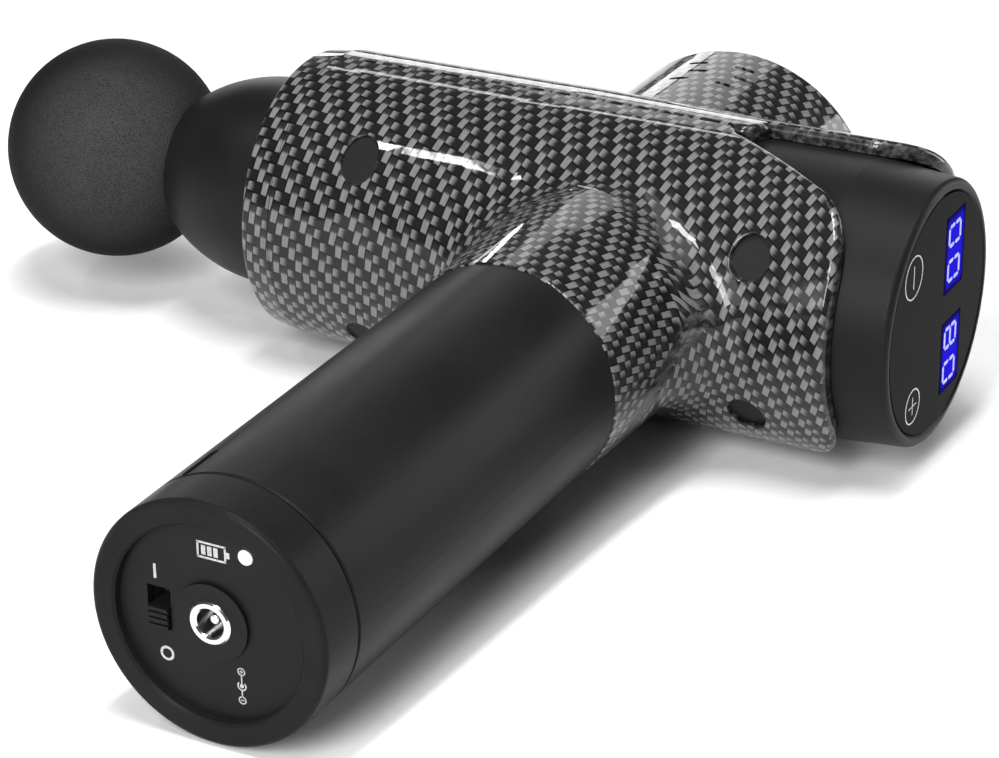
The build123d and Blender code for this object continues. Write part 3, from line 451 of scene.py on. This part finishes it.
def glow_material(name, centre, half_width, half_height):
    """Light shining through the glass, brightest in the middle of its window."""
    net = Net(name)
    parts = net.split(net.place)
    off_z = net.magnitude(net.minus(parts[2], centre[1]))
    off_y = net.magnitude(net.minus(parts[1], centre[0]))
    fade = net.times(
        net.ramp(off_z, half_width * 0.72, half_width, 1.0, 0.04),
        net.ramp(off_y, half_height * 0.62, half_height, 1.0, 0.03),
    )
    mottle = net.ramp(net.noise(net.place, 900), 0.3, 0.7, 0.8, 1.0)
    level = net.times(fade, mottle)
    net.set(
        Base_Color=(0.004, 0.004, 0.008, 1),
        Roughness=0.3,
        Specular_IOR_Level=0.0,
        Emission_Color=net.tint(level, GLOW_RIM, GLOW_CORE),
        Emission_Strength=1.0,
    )
    return net.material


def segment_material():
    """Bright display segment, a slightly uneven pale blue."""
    net = Net("display_segments")
    mottle = net.noise(net.place, 1500)
    net.set(
        Base_Color=(0.02, 0.02, 0.04, 1),
        Roughness=0.3,
        Specular_IOR_Level=0.02,
        Emission_Color=net.tint(net.ramp(mottle, 0.3, 0.7), *SEGMENT_BLUES),
        Emission_Strength=1.0,
    )
    return net.material


def print_material(name, tone):
    """Thin screen-printed ink, a little worn."""
    net = Net(name)
    wear = net.noise(net.place, 2200, 3, 0.6)
    bright = (tone, tone, tone)
    dim = (tone * 0.7, tone * 0.7, tone * 0.7)
    net.set(
        Base_Color=net.tint(net.ramp(wear, 0.3, 0.6), dim, bright),
        Roughness=0.45,
        Specular_IOR_Level=0.1,
    )
    return net.material


# Colour, roughness, then the grain's size and depth in mm
MATERIALS = {
    "carbon_gloss": carbon_material(),
    "satin_black": moulded(
        "satin_black", (0.0085, 0.0085, 0.0087), 0.42, 0.25, 0.004, Specular_IOR_Level=0.14
    ),
    "matte_black": moulded(
        "matte_black", (0.0085, 0.0085, 0.0087), 0.44, 0.22, 0.012, Specular_IOR_Level=0.12
    ),
    "grip_black": moulded(
        "grip_black", (0.0125, 0.0125, 0.0127), 0.35, 0.30, 0.003, Specular_IOR_Level=0.05
    ),
    "black_rubber": moulded(
        "black_rubber", (0.008, 0.008, 0.008), 0.55, 0.30, 0.012, Specular_IOR_Level=0.2
    ),
    "ball_foam": foam_material(),
    "display_glass": moulded(
        "display_glass", (0.002, 0.002, 0.0022), 0.14, 3.0, 0.0005, Specular_IOR_Level=0.008
    ),
    "circuit_board": circuit_board("circuit_board", (0.01, 0.09, 0.035)),
    "electronics": moulded("electronics", (0.02, 0.02, 0.02), 0.45, 0.2, 0.01),
    "led_module": moulded("led_module", (0.22, 0.22, 0.25), 0.5, 0.3, 0.01),
    "lens_white": moulded("lens_white", (0.80, 0.80, 0.80), 0.3, 0.6, 0.003, spread=0.05),
    "jack_metal": machined("jack_metal", (0.90, 0.90, 0.91), 0.16),
    "steel": machined("steel", (0.56, 0.56, 0.57), 0.32, (1, 0.08, 1)),
    "aluminium_part": machined("aluminium_part", (0.77, 0.77, 0.78), 0.3, (0.08, 1, 1)),
    "frame_plastic": moulded("frame_plastic", (0.045, 0.045, 0.05), 0.5, 0.5, 0.02),
    "holder_plastic": moulded("holder_plastic", (0.05, 0.05, 0.05), 0.5, 0.4, 0.015),
    "bush_polymer": moulded("bush_polymer", (0.55, 0.46, 0.17), 0.42, 0.3, 0.006),
    "copper": wound("copper", (0.80, 0.36, 0.16)),
    "laminations": machined("laminations", (0.30, 0.30, 0.32), 0.45, (0.1, 3, 0.1), 0.35),
    "magnet": machined("magnet", (0.50, 0.50, 0.52), 0.35),
    "cell_wrap": moulded("cell_wrap", (0.03, 0.16, 0.36), 0.3, 1.2, 0.003, Coat_Weight=0.5),
    "nickel": machined("nickel", (0.66, 0.64, 0.60), 0.3),
    "wire_black": moulded("wire_black", (0.015, 0.015, 0.015), 0.45, 0.6, 0.01),
    "ribbon": moulded("ribbon", (0.55, 0.55, 0.52), 0.4, 0.8, 0.006),
}

for part in frame["record"]["subparts"]:
    mesh = frame["nodes"][part["node"]].data
    mesh.materials.clear()
    mesh.materials.append(MATERIALS[part["material_slot"]])


# ---------------------------------------------------------------- pieces


def add_piece(name, build, material, body, smooth=True):
    """A mesh piece from a bmesh, riding on a CAD body."""
    mesh = bpy.data.meshes.new(name)
    bmesh.ops.recalc_face_normals(build, faces=build.faces)
    build.to_mesh(mesh)
    build.free()
    mesh.materials.append(material)
    mesh.shade_smooth() if smooth else mesh.shade_flat()
    piece = bpy.data.objects.new(name, mesh)
    bpy.context.scene.collection.objects.link(piece)
    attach(piece, body)
    return piece


def arc_points(centre_x, radius, start, end, count):
    """Points of an arc about a centre on the barrel's axis: (x, distance from the axis)."""
    turns = [start + (end - start) * i / (count - 1) for i in range(count)]
    return [(centre_x - radius * math.cos(turn), radius * math.sin(turn)) for turn in turns]


def turned_rows(build, profile, steps):
    """Rings of vertices round the barrel's axis, one for each point of the profile, and faces
    between them. A point on the axis has one vertex."""
    rows = []
    for x, distance in profile:
        if distance < 1e-7:
            rows.append([build.verts.new((x, AXIS_Y, 0))])
            continue
        row = []
        for i in range(steps):
            turn = 2 * math.pi * i / steps
            y, z = AXIS_Y + distance * math.cos(turn), distance * math.sin(turn)
            row.append(build.verts.new((x, y, z)))
        rows.append(row)
    for first, second in zip(rows, rows[1:]):
        for i in range(steps):
            places = ((first, i), (first, i + 1), (second, i + 1), (second, i))
            corners = [row[place % steps % len(row)] for row, place in places]
            build.faces.new(list(dict.fromkeys(corners)))
    return rows


BALL_COLLAR_R = 12.6 * MM
BALL_ROOT = 2.2 * MM  # hollow fillet between the ball and its collar
BALL_CORE_R = 14.05 * MM  # cavity for the head's core
BALL_BORE_R = 8.05 * MM
BALL_EDGE = 0.4 * MM
BALL_STEPS = 400  # round the ball
BALL_ROWS, ROOT_ROWS, CORE_ROWS = 230, 10, 24  # along its outline
SMOOTH_ROWS = 4  # at the collar's end
BALL_PORE, BALL_SWELL = 0.035 * MM, 0.10 * MM  # depths


def foam_ball():
    """The ball head: foam ball, collar and the cavity for its core, with pores in its skin."""
    radius = (ball_high.y - ball_low.y) / 2
    centre_x = ball_low.x + radius
    # The ball runs into the collar over the fillet
    fillet_turn = math.asin((BALL_COLLAR_R + BALL_ROOT) / (radius + BALL_ROOT))
    root_x = centre_x + (radius + BALL_ROOT) * math.cos(fillet_turn)
    outer = arc_points(centre_x, radius, 0, math.pi - fillet_turn, BALL_ROWS)
    for i in range(1, ROOT_ROWS + 1):
        turn = fillet_turn + (math.pi / 2 - fillet_turn) * i / ROOT_ROWS
        distance = BALL_COLLAR_R + BALL_ROOT - BALL_ROOT * math.sin(turn)
        outer.append((root_x - BALL_ROOT * math.cos(turn), distance))
    outer.append((ball_high.x - BALL_EDGE, BALL_COLLAR_R))
    outer.append((ball_high.x, BALL_COLLAR_R - BALL_EDGE))
    core_end = math.pi - math.asin(BALL_BORE_R / BALL_CORE_R)
    inner = [(ball_high.x, BALL_BORE_R)]
    inner += reversed(arc_points(centre_x, BALL_CORE_R, 0, core_end, CORE_ROWS))
    build = bmesh.new()
    rows = turned_rows(build, outer + inner, BALL_STEPS)
    # Pores and slow swells sink the skin, almost up to the end of the fillet
    centre = Vector((centre_x, AXIS_Y, 0))
    for row in rows[: len(outer) - SMOOTH_ROWS]:
        for vert in row:
            pore = noise.noise(vert.co * 1500) + 0.6 * noise.noise(vert.co * 3100)
            swell = noise.noise(vert.co * 70)
            inward = BALL_PORE * max(0, 0.3 + pore) + BALL_SWELL * (0.5 + 0.5 * swell)
            vert.co -= (vert.co - centre).normalized() * inward
    piece = add_piece("foam_ball", build, MATERIALS["ball_foam"], "massage_head")
    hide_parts("massage_ball")


def flat_marks(name, outlines, origin, across, up, material):
    """Thin raised shapes on a face. Outlines are in mm, in the face's own across and up."""
    build = bmesh.new()
    normal = across.cross(up)
    for outline in outlines:
        low = [build.verts.new(origin + across * (u * MM) + up * (v * MM)) for u, v in outline]
        high = [build.verts.new(vert.co + normal * MARK_THICKNESS) for vert in low]
        build.faces.new(low)
        build.faces.new(high)
        for i in range(len(low)):
            j = (i + 1) % len(low)
            build.faces.new((low[i], low[j], high[j], high[i]))
    return add_piece(name, build, material, "root", smooth=False)


def ring_outlines(centre_u, centre_v, radius, width, steps=64, start=0.0, end=1.0):
    """A flat ring, or a share of it, as a row of small four-sided outlines."""
    outlines = []
    for i in range(steps):
        first = 2 * math.pi * (start + (end - start) * i / steps)
        second = 2 * math.pi * (start + (end - start) * (i + 1) / steps)
        outlines.append(
            [
                (centre_u + r * math.cos(turn), centre_v + r * math.sin(turn))
                for r, turn in (
                    (radius - width / 2, first),
                    (radius + width / 2, first),
                    (radius + width / 2, second),
                    (radius - width / 2, second),
                )
            ]
        )
    return outlines


def bar_outline(u, v, half_u, half_v):
    low_u, high_u = u - half_u, u + half_u
    low_v, high_v = v - half_v, v + half_v
    return [(low_u, low_v), (high_u, low_v), (high_u, high_v), (low_u, high_v)]


def segment_outline(start, end, width):
    """Display segment with pointed ends between two points on a common line."""
    (u0, v0), (u1, v1) = start, end
    length = math.hypot(u1 - u0, v1 - v0)
    du, dv = (u1 - u0) / length, (v1 - v0) / length
    half = width / 2
    nu, nv = -dv * half, du * half
    return [
        (u0, v0),
        (u0 + du * half + nu, v0 + dv * half + nv),
        (u1 - du * half + nu, v1 - dv * half + nv),
        (u1, v1),
        (u1 - du * half - nu, v1 - dv * half - nv),
        (u0 + du * half - nu, v0 + dv * half - nv),
    ]


# The display, in mm on the glass: across towards -Z and up towards the hump from its centre
WINDOWS = (("00", -11.6, 9.0), ("80", 12.6, 8.4))  # digits, centre across, half width
WINDOW_RISE = 8.6
WINDOW_HALF_HEIGHT = 5.4
DIGIT_RISE = WINDOW_RISE - 0.4
DIGIT_PITCH = 8.2
DIGIT_SIZE = (4.5, 6.3)  # between the segments' centre lines
SEGMENT_GAP = 0.45
SEGMENT_WIDTH = 0.85
MINUS_PLACE, MINUS_R, MINUS_REACH = (-14.3, -14.8), 4.75, 2.6
PLUS_PLACE, PLUS_R, PLUS_REACH = (16.7, -12.4), 3.9, 2.1
TOUCH_RING_WIDTH = 0.30

SEGMENTS = {
    "top": ((0, 2), (1, 2)),
    "upper_left": ((0, 1), (0, 2)),
    "upper_right": ((1, 1), (1, 2)),
    "middle": ((0, 1), (1, 1)),
    "lower_left": ((0, 0), (0, 1)),
    "lower_right": ((1, 0), (1, 1)),
    "bottom": ((0, 0), (1, 0)),
}
RING_OF_SEGMENTS = [key for key in SEGMENTS if key != "middle"]
DIGITS = {"0": RING_OF_SEGMENTS, "8": list(SEGMENTS)}


def digit_outlines(character, centre_u, centre_v):
    """The lit segments of one seven-segment digit."""
    wide, tall = DIGIT_SIZE
    outlines = []
    for key in DIGITS[character]:
        ends = []
        for u, v in SEGMENTS[key]:
            ends.append((centre_u + (u - 0.5) * wide, centre_v + (v / 2 - 0.5) * tall))
        (u0, v0), (u1, v1) = ends
        length = math.hypot(u1 - u0, v1 - v0)
        du, dv = (u1 - u0) / length * SEGMENT_GAP / 2, (v1 - v0) / length * SEGMENT_GAP / 2
        outlines.append(segment_outline((u0 + du, v0 + dv), (u1 - du, v1 - dv), SEGMENT_WIDTH))
    return outlines


def display():
    """Two lit windows with digits, and the two touch marks, on the glass."""
    across, up = Vector((0, 0, -1)), Vector((0, 1, 0))
    face = Vector((GLASS_FACE_X, AXIS_Y, 0))
    lifted = face + Vector((MARK_THICKNESS, 0, 0))
    segments = segment_material()
    for number, (characters, centre, half_width) in enumerate(WINDOWS, 1):
        glow = glow_material(
            f"display_glow_{number}",
            (AXIS_Y + WINDOW_RISE * MM, -centre * MM),
            half_width * MM,
            WINDOW_HALF_HEIGHT * MM,
        )
        window = [bar_outline(centre, WINDOW_RISE, half_width, WINDOW_HALF_HEIGHT)]
        flat_marks(f"display_window_{number}", window, face, across, up, glow)
        digits = []
        for place, character in zip((-0.5, 0.5), characters):
            digits += digit_outlines(character, centre + place * DIGIT_PITCH, DIGIT_RISE)
        flat_marks(f"display_digits_{number}", digits, lifted, across, up, segments)
    ink = print_material("touch_ink", 0.8)
    minus = ring_outlines(*MINUS_PLACE, MINUS_R, TOUCH_RING_WIDTH)
    minus += [bar_outline(*MINUS_PLACE, MINUS_REACH, 0.13)]
    plus = ring_outlines(*PLUS_PLACE, PLUS_R, TOUCH_RING_WIDTH)
    plus += [bar_outline(*PLUS_PLACE, PLUS_REACH, 0.12), bar_outline(*PLUS_PLACE, 0.12, PLUS_REACH)]
    flat_marks("minus_mark", minus, face, across, up, ink)
    flat_marks("plus_mark", plus, face, across, up, ink)


# Marks on the base, in mm on the panel: across towards +X and up towards +Z from its centre
ON_PLACE = (-12.0, 7.4)
OFF_PLACE = (-10.3, -9.4)
POLARITY_X, POLARITY_Z = 5.6, -12.1
POLARITY_REACH = 3.0  # from its middle to the plus and minus signs
SIGN_R = 0.72
SIGN_REACH = 0.36
BATTERY_Z = 14.4
BATTERY_LEFT, BATTERY_RIGHT, BATTERY_TIP = -2.4, 3.4, 3.95
BATTERY_BARS = (-1.2, 0.1, 1.4)


def polarity_outlines():
    """Upright: a sleeve round a pin, with plus and minus at the ends of their leads."""
    x, z = POLARITY_X, POLARITY_Z
    top, bottom = (x, z + POLARITY_REACH), (x, z - POLARITY_REACH)
    outlines = ring_outlines(x, z, 0.85, 0.26, 40, 0.37, 1.13)
    outlines += ring_outlines(x, z, 0.22, 0.4, 24)
    outlines += [bar_outline(x, z + 1.3, 0.12, 1.0), bar_outline(x, z - 1.65, 0.12, 0.7)]
    outlines += ring_outlines(*top, SIGN_R, 0.22, 36) + ring_outlines(*bottom, SIGN_R, 0.22, 36)
    outlines += [bar_outline(*top, SIGN_REACH, 0.1), bar_outline(*top, 0.1, SIGN_REACH)]
    return outlines + [bar_outline(*bottom, SIGN_REACH, 0.1)]


def battery_outlines():
    """A cell lying down, with three bars in it."""
    outlines = [bar_outline(x, BATTERY_Z, 0.2, 1.5) for x in (BATTERY_LEFT, BATTERY_RIGHT)]
    middle = (BATTERY_LEFT + BATTERY_RIGHT) / 2
    outlines += [bar_outline(middle, BATTERY_Z + rise, 3.1, 0.2) for rise in (1.5, -1.5)]
    outlines += [bar_outline(BATTERY_TIP, BATTERY_Z, 0.35, 0.6)]
    return outlines + [bar_outline(x, BATTERY_Z, 0.45, 0.95) for x in BATTERY_BARS]


def base_marks():
    """Printed marks on the base: on and off, the charger's polarity and a battery."""
    across, up = Vector((1, 0, 0)), Vector((0, 0, 1))
    face = Vector((0, PANEL_Y, 0))
    ink = print_material("base_ink", 0.5)
    marks = {
        "switch_on_mark": [bar_outline(*ON_PLACE, 0.28, 1.5)],
        "switch_off_mark": ring_outlines(*OFF_PLACE, 1.25, 0.5, 40),
        "polarity_mark": polarity_outlines(),
        "battery_mark": battery_outlines(),
    }
    for name, outlines in marks.items():
        flat_marks(name, outlines, face, across, up, ink)


foam_ball()
display()
base_marks()


# ---------------------------------------------------------------- floor, lights and camera


FLOOR_SIZE = 6.0
FLOOR_GAP = 0.25 * MM


def floor():
    """Pale plane that the gun rests on, under its barrel and the end of its handle."""
    handle_low, barrel_low = -HANDLE_R, -BARREL_R
    tilt = math.atan((handle_low - barrel_low) / AXIS_Y)
    build = bmesh.new()
    bmesh.ops.create_grid(build, x_segments=2, y_segments=2, size=FLOOR_SIZE)
    mesh = bpy.data.meshes.new("floor")
    build.to_mesh(mesh)
    build.free()
    ground = bpy.data.objects.new("floor", mesh)
    bpy.context.scene.collection.objects.link(ground)
    ground.rotation_euler = (-tilt, 0, 0)
    ground.location = (0, 0, handle_low - FLOOR_GAP)
    net = Net("floor_paper")
    fibre = net.noise(net.place, 300, 3)
    net.set(
        Base_Color=net.tint(net.ramp(fibre, 0.3, 0.7), (0.93, 0.93, 0.93), (0.95, 0.95, 0.95)),
        Roughness=0.8,
        Specular_IOR_Level=0.1,
    )
    mesh.materials.append(net.material)


def panel(name, towards, distance, size, radiance, target=(0.0, 0.15, 0.02), level=(0, 0, 1)):
    """Rectangular light panel in a direction from its target, facing it. Its height runs along
    level, as nearly as it can."""
    direction = Vector(towards).normalized()
    sideways = Vector(level).cross(direction).normalized()
    upright = direction.cross(sideways)
    light = bpy.data.lights.new(name, "AREA")
    light.shape = "RECTANGLE"
    light.size, light.size_y = size
    light.energy = math.pi * size[0] * size[1] * radiance
    lamp = bpy.data.objects.new(name, light)
    bpy.context.scene.collection.objects.link(lamp)
    turn = Matrix((sideways, upright, direction)).transposed().to_4x4()
    lamp.matrix_world = Matrix.Translation(Vector(target) + direction * distance) @ turn


WORLD_STRENGTH = 0.06
PLUG_STREAK = (-0.026, 0.161, 0.025)  # highlight beside the front plug
RIDGE = (-0.030, 0.178, 0.033)  # highlight along the top of the barrel
ALONG_BARREL = (1, 0, 0)
ALONG_HANDLE = (0, 1, 0)


def lights():
    """Soft studio light: wide panels for tone, and narrow ones for the streaks in the gloss."""
    world = bpy.data.worlds.new("studio")
    bpy.context.scene.world = world
    world.use_nodes = True
    background = world.node_tree.nodes["Background"]
    background.inputs["Color"].default_value = (1, 1, 1, 1)
    background.inputs["Strength"].default_value = WORLD_STRENGTH
    panel("fill", (0.14, 0.05, 0.985), 1.8, (1.3, 1.3), 2.5)
    panel("key", (-0.15, -0.90, 0.40), 1.6, (0.6, 0.7), 3.0)
    panel("overhead", (0.02, -0.15, 0.99), 1.2, (0.11, 0.60), 36.0, level=ALONG_HANDLE)
    panel("front_strip", (0.08, -0.84, 0.53), 1.3, (0.24, 0.80), 24.0)
    panel("back_left", (-0.317, 0.871, 0.375), 1.4, (0.54, 0.54), 1.6)
    panel("back_left_edge", (-0.60, 0.78, 0.18), 1.3, (0.018, 0.50), 12.0)
    panel("back_right", (0.54, 0.79, 0.19), 1.3, (0.45, 0.70), 5.0)
    panel("backdrop", (-0.45, 0.85, 0.10), 1.8, (1.4, 0.25), 3.0)
    panel("side_lamp", (-0.505, -0.31, 0.80), 1.0, (0.09, 0.04), 60.0, PLUG_STREAK, ALONG_BARREL)
    panel("ridge_strip", (-0.44, 0.67, 0.60), 1.0, (0.045, 0.26), 6.5, RIDGE, ALONG_BARREL)


CAMERA_PLACE = (0.3028, -0.4472, 0.3107)
CAMERA_AHEAD = (-0.4281, 0.7905, -0.4380)
CAMERA_RIGHT = (0.8818, 0.4716, -0.0108)
SENSOR_WIDTH_MM = 36
FOCAL_LENGTH_MM = 124.02


def camera():
    """At the photograph's viewing angle."""
    lens = bpy.data.cameras.new("camera")
    lens.sensor_width = SENSOR_WIDTH_MM
    lens.lens = FOCAL_LENGTH_MM
    lens.clip_start = 0.01
    eye = bpy.data.objects.new("camera", lens)
    bpy.context.scene.collection.objects.link(eye)
    ahead = Vector(CAMERA_AHEAD).normalized()
    right = Vector(CAMERA_RIGHT)
    right = (right - ahead * right.dot(ahead)).normalized()
    turn = Matrix((right, right.cross(ahead), -ahead)).transposed()
    eye.matrix_world = Matrix.Translation(CAMERA_PLACE) @ turn.to_4x4()
    bpy.context.scene.camera = eye


floor()
lights()
camera()
bpy.context.scene.view_settings.view_transform = "Standard"
